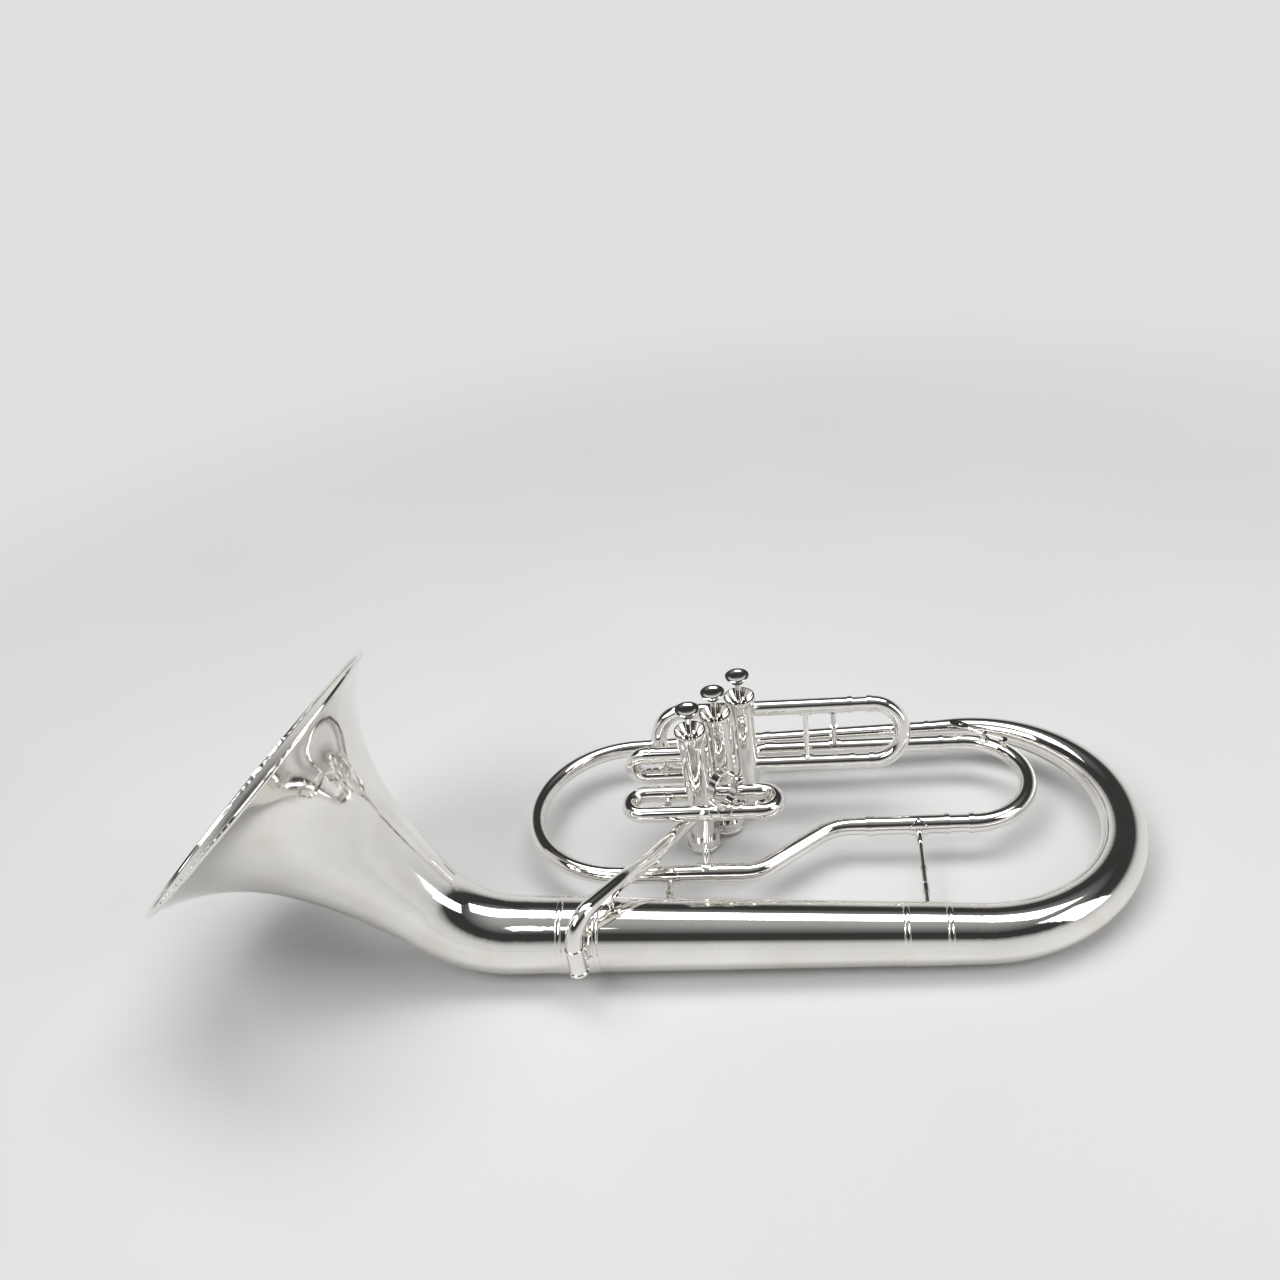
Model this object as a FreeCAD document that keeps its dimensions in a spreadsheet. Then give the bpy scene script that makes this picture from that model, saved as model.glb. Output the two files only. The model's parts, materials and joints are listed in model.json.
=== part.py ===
"""Baritone horn: three piston valves, four tuning slides, conical branch and forward-facing bell.

The horn is laid out in a loop frame. X runs along the horn, from the bell end to the bottom bow.
Y runs from the bell stem to the top branch. Z is up, along the valves. The loop frame's origin lies
on the axis of the lower branch. Every node is then shifted, so that the horn's own origin is the
centre of the mouthpiece receiver's mouth. All sizes are in millimetres and degrees.
"""
import FreeCAD, Part
import math
import os
import Sketcher
from FreeCAD import Placement, Rotation, Vector

doc = FreeCAD.newDocument("baritone_horn")
sheet = doc.addObject("Spreadsheet::Sheet", "Sizes")

SIZES = {
    # Tubing
    "bore_radius": 6.0,
    "tube_wall": 0.5,
    "slide_clearance": 0.05,
    "ferrule_wall": 0.7,
    "ferrule_width": 4.0,
    "joint_gap": 0.3,
    "solder_gap": 0.1,
    # Mouthpiece receiver and leadpipe
    "mouth_x": -45.5,
    "mouth_y": -103.0,
    "mouth_z": -1.0,
    "shank_radius": 5.5,
    "shank_depth": 21.0,
    "receiver_radius": 7.2,
    "receiver_ring_radius": 7.9,
    "receiver_ring_width": 2.6,
    "receiver_length": 26.0,
    "leadpipe_top": 50.0,
    "leadpipe_top_bend": 21.5,
    "leadpipe_bend": 60.0,
    "leadpipe_crest_x": -12.0,
    "leadpipe_crest_y": -50.0,
    "leadpipe_crest_z": 43.0,
    "leadpipe_fall_x": 6.0,
    "leadpipe_fall_y": -10.0,
    "leadpipe_fall_z": 27.5,
    "leadpipe_under_x": 26.0,
    "leadpipe_under_z": 12.8,
    # Valves
    "valve_x": 38.9,
    "valve_y": 69.4,
    "valve_pitch": 30.0,
    "valve_line_angle": 48.65,
    "piston_radius": 10.0,
    "piston_clearance": 0.05,
    "piston_bottom": 1.0,
    "piston_length": 79.0,
    "piston_wall": 0.5,
    "passage_radius": 3.8,
    "passage_offset": 5.6,
    "valve_stroke": 16.0,
    "casing_wall": 0.8,
    "casing_bottom": -26.0,
    "cap_radius": 13.2,
    "cap_skirt_wall": 0.9,
    "cap_skirt": 6.0,
    "cap_height": 10.0,
    "cap_lip": 1.4,
    "cap_bowl_radius": 12.2,
    "cap_bowl_foot": 7.4,
    "cap_floor": 1.4,
    "cap_collar_wall": 1.5,
    "cap_collar_height": 2.2,
    "foot_radius": 14.2,
    "foot_skirt": 8.0,
    "foot_floor": 2.4,
    "foot_button_radius": 5.0,
    "foot_dome": 3.6,
    "stem_radius": 2.6,
    "stem_foot_thickness": 1.2,
    "button_radius": 10.4,
    "button_thickness": 5.0,
    "button_edge": 1.8,
    "button_dish": 1.0,
    "button_lift": 17.0,
    "felt_radius": 7.5,
    "felt_thickness": 2.2,
    "stop_felt_thickness": 5.7,
    "spring_radius": 7.6,
    "spring_wire": 1.1,
    "spring_turns": 6.0,
    # Port heights
    "lead_port": 10.0,
    "third_left_port": 26.0,
    # First slide, a flat loop round the first valve
    "first_height": 28.0,
    "first_near_y": 43.0,
    "first_left": -19.0,
    "first_sleeve_end": 79.0,
    "first_right": 107.0,
    "first_insert": 27.0,
    # Second slide, standing, towards the bell
    "second_high": 53.0,
    "second_low": 30.0,
    "second_sleeve_end": -1.0,
    "second_left": -18.0,
    "second_insert": 40.0,
    # Third slide, a standing loop round both sides of the third valve
    "third_high_y": 134.0,
    "third_high_z": 67.6,
    "third_low_z": 20.5,
    "third_left": 2.6,
    "third_sleeve_end": 174.0,
    "third_right": 216.0,
    "third_insert": 55.0,
    # Main tuning slide
    "tuning_high_y": 153.0,
    "tuning_high_z": 6.0,
    "tuning_low_y": 52.0,
    "tuning_high_start": 98.0,
    "tuning_high_end": 253.0,
    "tuning_low_start": 183.5,
    "tuning_low_end": 248.5,
    "tuning_right": 319.0,
    "tuning_insert": 60.0,
    "tuning_flare": 1.0,
    "exit_bend": 15.0,
    # Branch
    "branch_wall": 0.6,
    "branch_radius": 7.5,
    "s_bend_high_x": 152.0,
    "s_bend_low_x": 90.0,
    "s_bend_high_radius": 42.0,
    "s_bend_low_radius": 30.0,
    "branch_joint_x": 68.0,
    "branch_joint_length": 22.0,
    "left_bow_x": -24.0,
    "left_bow_radius": 85.5,
    "top_slant": 2.4,
    "top_joint_x": 95.0,
    "bow_joint_x": 243.0,
    # Bottom bow and bell stem
    "bow_x": 264.0,
    "bow_start_radius": 8.2,
    "bow_growth": 0.75,
    "stem_y": -64.0,
    "stem_bow_radius": 23.0,
    "stem_joint_x": 223.0,
    "stem_joint_length": 34.0,
    "floor_z": -32.0,
    "bell_joint_length": 31.0,
    # Bell
    "bell_joint_x": -60.0,
    "bell_joint_radius": 30.0,
    "bell_bend_radius": 100.0,
    "bell_bend_angle": 47.0,
    "bell_lean": 8.0,
    "bell_corner_x": -142.0,
    "bell_reach": 208.3,
    "bell_rim_radius": 126.0,
    "bell_flare": 62.0,
    "bell_wall": 0.7,
    "bell_bead": 2.0,
    # Braces and finger ring
    "brace_radius": 2.2,
    "flange_radius": 8.0,
    "small_flange_radius": 5.5,
    "flange_thickness": 1.2,
    "long_brace_x": 223.0,
    "lower_brace_x": 47.0,
    "stem_brace_x": 18.0,
    "third_brace_x": 133.0,
    "third_tie_x": 157.0,
    "first_brace_x": 14.0,
    "second_brace_x": 11.0,
    "top_tie_x": 215.0,
    "ring_x": 64.0,
    "ring_height": 37.0,
    "ring_breadth": 29.0,
    "ring_band": 7.0,
    "ring_wall": 2.0,
    # Water key
    "key_turn": 44.0,
    "key_heading": 150.0,
    "key_pivot_gap": 17.5,
    "key_reach": 33.0,
    "key_pin_radius": 1.0,
    "key_height": 5.0,
    "key_pad_radius": 3.6,
    "key_nipple_radius": 2.6,
    "key_nipple_height": 2.4,
    "key_hub_length": 2.6,
    "key_ear": 1.0,
    "key_spring_width": 1.4,
    "key_cork_height": 1.6,
    "key_cup_height": 2.0,
    "key_arm_radius": 1.2,
    "key_touch_length": 18.0,
    "key_touch_width": 8.4,
    "key_touch_thickness": 1.4,
    "key_touch_rise": 2.5,
}

for row, (alias, value) in enumerate(SIZES.items(), start=1):
    sheet.set(f"A{row}", alias.replace("_", " "))
    sheet.set(f"B{row}", str(value))
    sheet.setAlias(f"B{row}", alias)
doc.recompute()


def size(alias):
    """A driving dimension, read back from the sheet."""
    return float(sheet.get(alias))


# Sizes that follow from the driving dimensions
BORE = size("bore_radius")
INNER = BORE + size("tube_wall")
SLEEVE_BORE = INNER + size("slide_clearance")
SLEEVE = SLEEVE_BORE + size("tube_wall")
LOW_BORE = BORE + size("tuning_flare")
LOW_INNER = INNER + size("tuning_flare")
LOW_SLEEVE_BORE = SLEEVE_BORE + size("tuning_flare")
LOW_SLEEVE = SLEEVE + size("tuning_flare")
FERRULE = size("ferrule_wall")
RING = size("ferrule_width")
GAP = size("joint_gap")
CASING_BORE = size("piston_radius") + size("piston_clearance")
CASING = CASING_BORE + size("casing_wall")
PISTON_TOP = size("piston_bottom") + size("piston_length")
CASING_TOP = PISTON_TOP + size("stop_felt_thickness") + GAP
BRANCH = size("branch_radius")
BRANCH_BORE = BRANCH - size("branch_wall")
SHIFT = Vector(-size("mouth_x"), -size("mouth_y"), -size("mouth_z"))

X = Vector(1, 0, 0)
Y = Vector(0, 1, 0)
Z = Vector(0, 0, 1)


def polar(length, angle):
    """A vector in the XY plane."""
    return Vector(length * math.cos(math.radians(angle)), length * math.sin(math.radians(angle)), 0)


VALVE_LINE = size("valve_line_angle")
VALVES = {
    name: Vector(size("valve_x"), size("valve_y"), 0) + polar(index * size("valve_pitch"), VALVE_LINE)
    for index, name in enumerate(("first", "second", "third"))
}
FIRST, SECOND, THIRD = VALVES["first"], VALVES["second"], VALVES["third"]

nodes = []


# ---------------------------------------------------------------- helpers

def add_shape(label, shape):
    """A sub-part whose shape is computed in the loop frame, then set in the horn's own frame."""
    feature = doc.addObject("Part::Feature", label)
    feature.Shape = shape
    feature.Placement = Placement(SHIFT, Rotation()).multiply(shape.Placement)
    feature.Label = label
    nodes.append(feature)
    return feature


def disc_wire(centre, direction, radius):
    return Part.Wire(Part.Circle(centre, direction, radius).toShape())


def rod(start, end, radius):
    """A round bar between two points."""
    run = end - start
    return Part.makeCylinder(radius, run.Length, start, run)


def pipe_between(start, end, outer, inner):
    return rod(start, end, outer).cut(rod(start, end, inner))


def route(points, radii):
    """A wire through the points, with its corners rounded by tangent arcs."""
    edges = []
    last = points[0]
    for corner, before, after, radius in zip(points[1:-1], points[:-2], points[2:], radii):
        to_before = (before - corner).normalize()
        to_after = (after - corner).normalize()
        half = to_before.getAngle(to_after) / 2
        setback = radius / math.tan(half)
        start = corner + to_before * setback
        end = corner + to_after * setback
        middle_way = (to_before + to_after).normalize()
        middle = corner + middle_way * (radius / math.sin(half) - radius)
        if (start - last).Length > 1e-6:
            edges.append(Part.LineSegment(last, start).toShape())
        edges.append(Part.Arc(start, middle, end).toShape())
        last = end
    if (points[-1] - last).Length > 1e-6:
        edges.append(Part.LineSegment(last, points[-1]).toShape())
    return Part.Wire(edges)


def bar_along(points, radii, radius):
    """A solid round bar swept along a rounded route."""
    path = route(points, radii)
    heading = points[1] - points[0]
    return path.makePipe(Part.Face(disc_wire(points[0], heading, radius)))


def tube_along(points, radii, outer, inner):
    return bar_along(points, radii, outer).cut(bar_along(points, radii, inner))


def swept_cone(path, sections):
    """A solid through round sections (centre, heading, radius) that stand on the path."""
    shell = Part.BRepOffsetAPI.MakePipeShell(path)
    for centre, heading, radius in sections:
        shell.add(disc_wire(centre, heading, radius), False, False)
    shell.build()
    shell.makeSolid()
    return shell.shape()


def band(centre, direction, outer, inner, width=None):
    """A ferrule: a ring centred on a point of a tube's axis."""
    width = width or RING
    way = Vector(direction).normalize()
    start = centre - way * (width / 2)
    return pipe_between(start, start + way * width, outer, inner)


def fused(solids):
    whole = solids[0].multiFuse(solids[1:]) if len(solids) > 1 else solids[0]
    return whole.removeSplitter()


def turned_body(label, profile, place):
    """A turned piece: a closed profile of (radius, height) expressions, revolved about its own Z axis."""
    body = doc.addObject("PartDesign::Body", label)
    plane = next(item for item in body.Origin.OriginFeatures if item.Role == "XZ_Plane")
    sketch = body.newObject("Sketcher::SketchObject", label + "_profile")
    sketch.AttachmentSupport = [(plane, "")]
    sketch.MapMode = "FlatFace"
    count = len(profile)
    corners = [Vector(index + 2, 3 * index + 1, 0) for index in range(count)]
    for index in range(count):
        sketch.addGeometry(Part.LineSegment(corners[index], corners[(index + 1) % count]), False)
    for index in range(count):
        sketch.addConstraint(Sketcher.Constraint("Coincident", index, 2, (index + 1) % count, 1))
    for index, (radius, height) in enumerate(profile):
        rough = corners[index]
        for kind, axis, text, start in (("DistanceX", -2, radius, rough.x),
                                        ("DistanceY", -1, height, rough.y)):
            if text == "0":
                sketch.addConstraint(Sketcher.Constraint("PointOnObject", index, 1, axis))
            else:
                number = sketch.addConstraint(Sketcher.Constraint(kind, -1, 1, index, 1, start))
                sketch.setExpression(f"Constraints[{number}]", text)
    turning = body.newObject("PartDesign::Revolution", label + "_turning")
    turning.Profile = sketch
    turning.ReferenceAxis = (sketch, ["V_Axis"])
    turning.Angle = 360
    sketch.Visibility = False
    for axis, text in zip("xyz", place):
        body.setExpression("Placement.Base." + axis, text)
    body.Label = label
    nodes.append(body)
    return body


def brace_between(start, end, start_radius, end_radius, start_axis, end_axis, flange="flange_radius"):
    """A rod between two tubes, with a saddle flange wrapped round each and a collar at its middle."""
    way = (end - start).normalize()
    thick = size("flange_thickness")
    pieces = [rod(start + way * (start_radius + thick / 2), end - way * (end_radius + thick / 2),
                  size("brace_radius"))]
    for point, radius, axis, out in ((start, start_radius, start_axis, way), (end, end_radius, end_axis, -way)):
        along = Vector(axis).normalize() * (2 * size(flange))
        shell = pipe_between(point - along, point + along, radius + thick, radius)
        reach = point + out * (radius + 2 * thick)
        pieces.append(shell.common(rod(point, reach, size(flange))))
    middle = (start + end) * 0.5 + way * ((start_radius - end_radius) / 2)
    collar = size("brace_radius")
    if (end - start).Length - start_radius - end_radius > 5 * collar:
        pieces.append(rod(middle - way * (collar / 2), middle + way * (collar / 2), 1.4 * collar))
    return fused(pieces)


# ---------------------------------------------------------------- valves

def casing_solid(centre, radius):
    """The space that a casing takes, used to cope the tubes that meet it."""
    return rod(centre + Z * size("casing_bottom"), centre + Z * CASING_TOP, radius)


def coped(shape, *centres):
    """A tube with its end cut to sit on the casings."""
    for centre in centres:
        shape = shape.cut(casing_solid(centre, CASING))
    return shape


LEAD_ROUTE = [
    Vector(size("mouth_x"), size("mouth_y"), size("mouth_z") + size("shank_depth")),
    Vector(size("mouth_x"), size("mouth_y"), size("leadpipe_top")),
    Vector(size("leadpipe_crest_x"), size("leadpipe_crest_y"), size("leadpipe_crest_z")),
    Vector(size("leadpipe_fall_x"), size("leadpipe_fall_y"), size("leadpipe_fall_z")),
    Vector(size("leadpipe_under_x"), size("first_near_y"), size("leadpipe_under_z")),
    FIRST + Z * size("lead_port"),
]
LEAD_BENDS = [size("leadpipe_top_bend")] + [size("leadpipe_bend")] * 3


def direction_to(centre, point):
    """The angle, seen from above, at which a tube leaves a valve."""
    return math.degrees(math.atan2(point.y - centre.y, point.x - centre.x))


LEAD_ANGLE = direction_to(FIRST, LEAD_ROUTE[-2])
LEAD_Z = size("lead_port")
EXIT_Z = size("tuning_high_z")
LEFT_Z = size("third_left_port")
RIGHT_Z = size("third_low_z")

# The ports of each casing, as (angle, height)
PORTS = {
    "first": [(LEAD_ANGLE, LEAD_Z), (VALVE_LINE, LEAD_Z),
              (180, size("first_height")), (0, size("first_height"))],
    "second": [(180 + VALVE_LINE, LEAD_Z), (VALVE_LINE, LEAD_Z),
               (180, size("second_low")), (180, size("second_high"))],
    "third": [(180 + VALVE_LINE, LEAD_Z), (90, EXIT_Z), (180, LEFT_Z), (0, RIGHT_Z)],
}
LIFT = size("valve_stroke")

# The three passages of each piston, each a chain of (angle, height) stations between two ports.
# The first is in line when the valve is up, the others when it is pressed.
PASSAGES = {
    "first": [
        [(LEAD_ANGLE, LEAD_Z), (VALVE_LINE, LEAD_Z)],
        [(LEAD_ANGLE, LEAD_Z + LIFT), (180, size("first_height") + LIFT)],
        [(0, size("first_height") + LIFT), (VALVE_LINE, LEAD_Z + LIFT)]],
    "second": [
        [(180 + VALVE_LINE, LEAD_Z), (VALVE_LINE, LEAD_Z)],
        [(180 + VALVE_LINE, LEAD_Z + LIFT), (180, size("second_low") + LIFT)],
        [(180, size("second_high") + LIFT), (VALVE_LINE, size("second_high") + LIFT),
         (VALVE_LINE, LEAD_Z + LIFT)]],
    "third": [
        [(180 + VALVE_LINE, LEAD_Z), (90, EXIT_Z)],
        [(180 + VALVE_LINE, LEAD_Z + LIFT), (180, LEFT_Z + LIFT)],
        [(0, RIGHT_Z + LIFT), (90, EXIT_Z + LIFT)]],
}


def passage(stations, radius):
    """A bent passage through a piston, from port to port."""
    inner = [polar(size("passage_offset"), angle) + Z * height for angle, height in stations]
    ends = [polar(size("piston_radius") + 1, angle) + Z * height
            for angle, height in (stations[0], stations[-1])]
    chain = [ends[0]] + inner + [ends[1]]
    pieces = [rod(start, end, radius) for start, end in zip(chain, chain[1:])]
    pieces += [Part.makeSphere(radius, point) for point in inner]
    return fused(pieces)


def make_piston(name):
    """A thin-walled piston with three passages, built round its own axis."""
    radius, wall = size("piston_radius"), size("piston_wall")
    bottom, length = Z * size("piston_bottom"), size("piston_length")
    skin = Part.makeCylinder(radius, length, bottom)
    hollow = Part.makeCylinder(radius - wall, length - 2 * wall, bottom + Z * wall)
    bore = size("passage_radius")
    for stations in PASSAGES[name]:
        hollow = hollow.cut(passage(stations, bore + wall))
    body = skin.cut(hollow)
    for stations in PASSAGES[name]:
        body = body.cut(passage(stations, bore))
    return body


def make_spring():
    """An open coil between the bottom cap and the piston."""
    half = size("spring_wire") / 2
    bottom = size("floor_z") + size("foot_floor") + half + GAP
    height = size("piston_bottom") - half - GAP - bottom
    helix = Part.makeHelix(height / size("spring_turns"), height, size("spring_radius"))
    corners = [Vector(size("spring_radius") + half * across, 0, half * up)
               for across, up in ((-1, -1), (1, -1), (1, 1), (-1, 1), (-1, -1))]
    coil = Part.Wire(helix).makePipe(Part.Face(Part.makePolygon(corners)))
    coil.translate(Z * bottom)
    return coil


def make_valve(name, index):
    """Everything that one valve is made of, from its bottom cap to its finger button."""
    centre = VALVES[name]
    across = f"Sizes.valve_x + {index} * Sizes.valve_pitch * cos(Sizes.valve_line_angle) - Sizes.mouth_x"
    away = f"Sizes.valve_y + {index} * Sizes.valve_pitch * sin(Sizes.valve_line_angle) - Sizes.mouth_y"
    casing_bore = "Sizes.piston_radius + Sizes.piston_clearance"
    casing_outer = casing_bore + " + Sizes.casing_wall"
    piston_top = "(Sizes.piston_bottom + Sizes.piston_length)"
    casing_top = f"({piston_top} + Sizes.stop_felt_thickness + Sizes.joint_gap)"

    casing = casing_solid(centre, CASING).cut(casing_solid(centre, CASING_BORE))
    for angle, height in PORTS[name]:
        start = centre + Z * height
        casing = casing.cut(rod(start, start + polar(2 * CASING, angle), BORE))
    add_shape(name + "_valve_casing", casing)

    piston = make_piston(name)
    piston.translate(centre)
    add_shape(name + "_piston", piston)
    spring = make_spring()
    spring.translate(centre)
    add_shape(name + "_valve_spring", spring)

    # The top cap is a funnel: a skirt over the casing, a bowl, and a collar round the valve's stem
    rim = "Sizes.cap_skirt + Sizes.cap_height"
    floor = "Sizes.cap_skirt + Sizes.cap_floor"
    collar_bore = "Sizes.stem_radius + 2 * Sizes.joint_gap"
    collar = collar_bore + " + Sizes.cap_collar_wall"
    turned_body(name + "_top_cap", [
        (casing_outer, "0"), (casing_outer + " + Sizes.cap_skirt_wall", "0"),
        (casing_outer + " + Sizes.cap_skirt_wall", "Sizes.cap_skirt / 2"),
        ("Sizes.cap_radius", rim + " - Sizes.cap_lip"), ("Sizes.cap_radius", rim),
        ("Sizes.cap_bowl_radius", rim), ("Sizes.cap_bowl_foot", floor + " + Sizes.cap_floor"),
        (collar, floor), (collar, floor + " + Sizes.cap_collar_height"),
        (collar_bore, floor + " + Sizes.cap_collar_height"),
        (collar_bore, "Sizes.cap_skirt"), (casing_outer, "Sizes.cap_skirt"),
    ], (across, away, f"{casing_top} - Sizes.cap_skirt - Sizes.mouth_z"))

    foot = "(Sizes.casing_bottom - Sizes.floor_z)"
    turned_body(name + "_bottom_cap", [
        ("0", "0"), ("Sizes.foot_button_radius", "0"), ("Sizes.foot_button_radius + 1", "1"),
        ("Sizes.foot_radius - 2", "Sizes.foot_dome - 2"), ("Sizes.foot_radius", "Sizes.foot_dome"),
        ("Sizes.foot_radius", f"{foot} + Sizes.foot_skirt"),
        (casing_outer, f"{foot} + Sizes.foot_skirt"), (casing_outer, foot),
        (casing_outer, "Sizes.foot_floor"), ("0", "Sizes.foot_floor"),
    ], (across, away, "Sizes.floor_z - Sizes.mouth_z"))

    button_level = f"{casing_top} + Sizes.cap_height + Sizes.button_lift"
    stem_length = f"{button_level} - {piston_top}"
    turned_body(name + "_valve_stem", [
        ("0", "0"), ("2 * Sizes.stem_radius", "0"), ("2 * Sizes.stem_radius", "Sizes.stem_foot_thickness"),
        ("Sizes.stem_radius", "Sizes.stem_foot_thickness"), ("Sizes.stem_radius", stem_length),
        ("0", stem_length),
    ], (across, away, f"{piston_top} - Sizes.mouth_z"))

    # The finger button is a mushroom with a dished top
    brim = "Sizes.button_thickness - Sizes.button_edge"
    turned_body(name + "_finger_button", [
        ("0", "0"), ("2 * Sizes.stem_radius", "0"), ("Sizes.button_radius - 0.4", brim),
        ("Sizes.button_radius", brim + " + 0.4"), ("Sizes.button_radius", "Sizes.button_thickness - 0.4"),
        ("Sizes.button_radius - 0.4", "Sizes.button_thickness"),
        ("Sizes.button_radius - Sizes.button_edge", "Sizes.button_thickness"),
        ("Sizes.button_radius / 2", "Sizes.button_thickness - Sizes.button_dish"),
        ("0", "Sizes.button_thickness - Sizes.button_dish"),
    ], (across, away, f"{button_level} - Sizes.mouth_z"))

    top = centre + Z * (PISTON_TOP + size("stem_foot_thickness"))
    stop = pipe_between(top, centre + Z * (CASING_TOP - GAP), size("felt_radius"), size("stem_radius"))
    level = centre + Z * (CASING_TOP + size("cap_height") + size("button_lift"))
    cushion = pipe_between(level - Z * size("felt_thickness"), level, 2 * size("stem_radius"),
                           size("stem_radius"))
    add_shape(name + "_valve_felts", Part.makeCompound([stop, cushion]))


for number, valve_name in enumerate(VALVES):
    make_valve(valve_name, number)

knuckles = []
for left, right in ((FIRST, SECOND), (SECOND, THIRD)):
    level = Z * LEAD_Z
    knuckles.append(coped(pipe_between(left + level, right + level, INNER, BORE), left, right))
add_shape("valve_knuckles", Part.makeCompound(knuckles))


# ---------------------------------------------------------------- mouthpiece receiver and leadpipe

turned_body("mouthpiece_receiver", [
    ("Sizes.shank_radius", "0"), ("Sizes.receiver_ring_radius - 0.6", "0"),
    ("Sizes.receiver_ring_radius", "0.6"),
    ("Sizes.receiver_ring_radius", "Sizes.receiver_ring_width"),
    ("Sizes.receiver_radius", "Sizes.receiver_ring_width + 0.6"),
    ("Sizes.receiver_radius", "Sizes.receiver_length"),
    ("Sizes.bore_radius + Sizes.tube_wall", "Sizes.receiver_length"),
    ("Sizes.bore_radius + Sizes.tube_wall", "Sizes.shank_depth"),
    ("Sizes.shank_radius", "Sizes.shank_depth"),
], ("0", "0", "0"))
add_shape("leadpipe", coped(tube_along(LEAD_ROUTE, LEAD_BENDS, INNER, BORE), FIRST))


# ---------------------------------------------------------------- valve slides

def slide_crook(near, far, sleeve_ends, bow_x, heading, insert, radii):
    """A crook as an outer solid and its bore: two straight legs, a half-round bow and two ferrules.

    near and far are the leg axes at x = 0. radii is one (bore, leg, bow) set for each leg.
    """
    starts = [Vector(bow_x, leg.y, leg.z) for leg in (near, far)]
    middle = (starts[0] + starts[1]) * 0.5 + X * (heading * (starts[1] - starts[0]).Length / 2)
    arc = Part.Wire(Part.Arc(starts[0], middle, starts[1]).toShape())
    across = (starts[1] - starts[0]).normalize()

    def bow(first_radius, last_radius):
        if first_radius == last_radius:
            return arc.makePipe(Part.Face(disc_wire(starts[0], X, first_radius)))
        return swept_cone(arc, [
            (starts[0], X * heading, first_radius),
            (middle, across, (first_radius + last_radius) / 2),
            (starts[1], X * -heading, last_radius)])

    outer = [bow(radii[0][2], radii[1][2])]
    inner = [bow(radii[0][0], radii[1][0])]
    for start, sleeve_end, (bore, leg, tube) in zip(starts, sleeve_ends, radii):
        tip = Vector(sleeve_end - heading * insert, start.y, start.z)
        outer.append(rod(tip, start, leg))
        outer.append(rod(start - X * (heading * RING), start, tube + FERRULE))
        inner.append(rod(tip, start, bore))
    return fused(outer), fused(inner)


def add_crook(label, solids):
    outer, bore = solids
    add_shape(label, outer.cut(bore))


VALVE_SLIDE_RADII = [(BORE, INNER, SLEEVE)] * 2


def sleeve_ring(end, heading, outer=SLEEVE, inner=SLEEVE_BORE):
    """The raised ring at the open end of a slide's outer tube."""
    return band(end - X * (heading * RING / 2), X, outer + FERRULE, inner)


# First slide: a flat loop that starts on the bell side of the first valve and comes back round it
near_y, first_z = size("first_near_y"), size("first_height")
first_bow_radius = (FIRST.y - near_y) / 2
first_left, first_end = size("first_left"), size("first_sleeve_end")
loop = tube_along(
    [FIRST + Z * first_z, Vector(first_left, FIRST.y, first_z),
     Vector(first_left, near_y, first_z), Vector(first_end, near_y, first_z)],
    [first_bow_radius, first_bow_radius], SLEEVE, SLEEVE_BORE)
near_end = Vector(first_end, near_y, first_z)
far_end = Vector(first_end, FIRST.y, first_z)
add_shape("first_slide_loop", fused([coped(loop, FIRST), sleeve_ring(near_end, 1)]))
port_sleeve = pipe_between(FIRST + Z * first_z, far_end, SLEEVE, SLEEVE_BORE)
add_shape("first_slide_sleeve", fused([coped(port_sleeve, FIRST), sleeve_ring(far_end, 1)]))
add_crook("first_slide_crook", slide_crook(
    near_end, far_end, (first_end, first_end), size("first_right") - first_bow_radius, 1,
    size("first_insert"), VALVE_SLIDE_RADII))

# Second slide: stands on edge and points towards the bell
second_end = size("second_sleeve_end")
second_legs = [Vector(0, SECOND.y, size(level)) for level in ("second_high", "second_low")]
second_sleeves = []
for leg in second_legs:
    end = leg + X * second_end
    sleeve = coped(pipe_between(leg + X * SECOND.x, end, SLEEVE, SLEEVE_BORE), SECOND)
    second_sleeves.append(fused([sleeve, sleeve_ring(end, -1)]))
add_shape("second_slide_sleeves", Part.makeCompound(second_sleeves))
second_bow_radius = (size("second_high") - size("second_low")) / 2
add_crook("second_slide_crook", slide_crook(
    second_legs[0], second_legs[1], (second_end, second_end),
    size("second_left") + second_bow_radius, -1, size("second_insert"), VALVE_SLIDE_RADII))

# Third slide: a standing loop that leaves the third valve on the left and comes back to its right
third_end = size("third_sleeve_end")
third_legs = [Vector(0, size("third_high_y"), size("third_high_z")),
              Vector(0, THIRD.y, size("third_low_z"))]
third_port = THIRD + Z * LEFT_Z
left_drop = third_legs[0] - Vector(0, third_port.y, third_port.z)
third_left_radius = left_drop.Length / 2
turn_x = size("third_left") + third_left_radius
turn_start = Vector(turn_x, third_port.y, third_port.z)
turn_middle = turn_start + left_drop * 0.5 - X * third_left_radius
high_path = Part.Wire([
    Part.LineSegment(third_port, turn_start).toShape(),
    Part.Arc(turn_start, turn_middle, third_legs[0] + X * turn_x).toShape(),
    Part.LineSegment(third_legs[0] + X * turn_x, third_legs[0] + X * third_end).toShape()])
high_tube, high_bore = [high_path.makePipe(Part.Face(disc_wire(third_port, X, radius)))
                        for radius in (SLEEVE, SLEEVE_BORE)]
low_tube = pipe_between(THIRD + Z * RIGHT_Z, third_legs[1] + X * third_end, SLEEVE, SLEEVE_BORE)
third_sleeves = []
for leg, sleeve in zip(third_legs, (high_tube.cut(high_bore), low_tube)):
    third_sleeves.append(fused([coped(sleeve, THIRD), sleeve_ring(leg + X * third_end, 1)]))
add_shape("third_slide_sleeves", Part.makeCompound(third_sleeves))
third_bow_radius = (third_legs[0] - third_legs[1]).Length / 2
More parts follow.
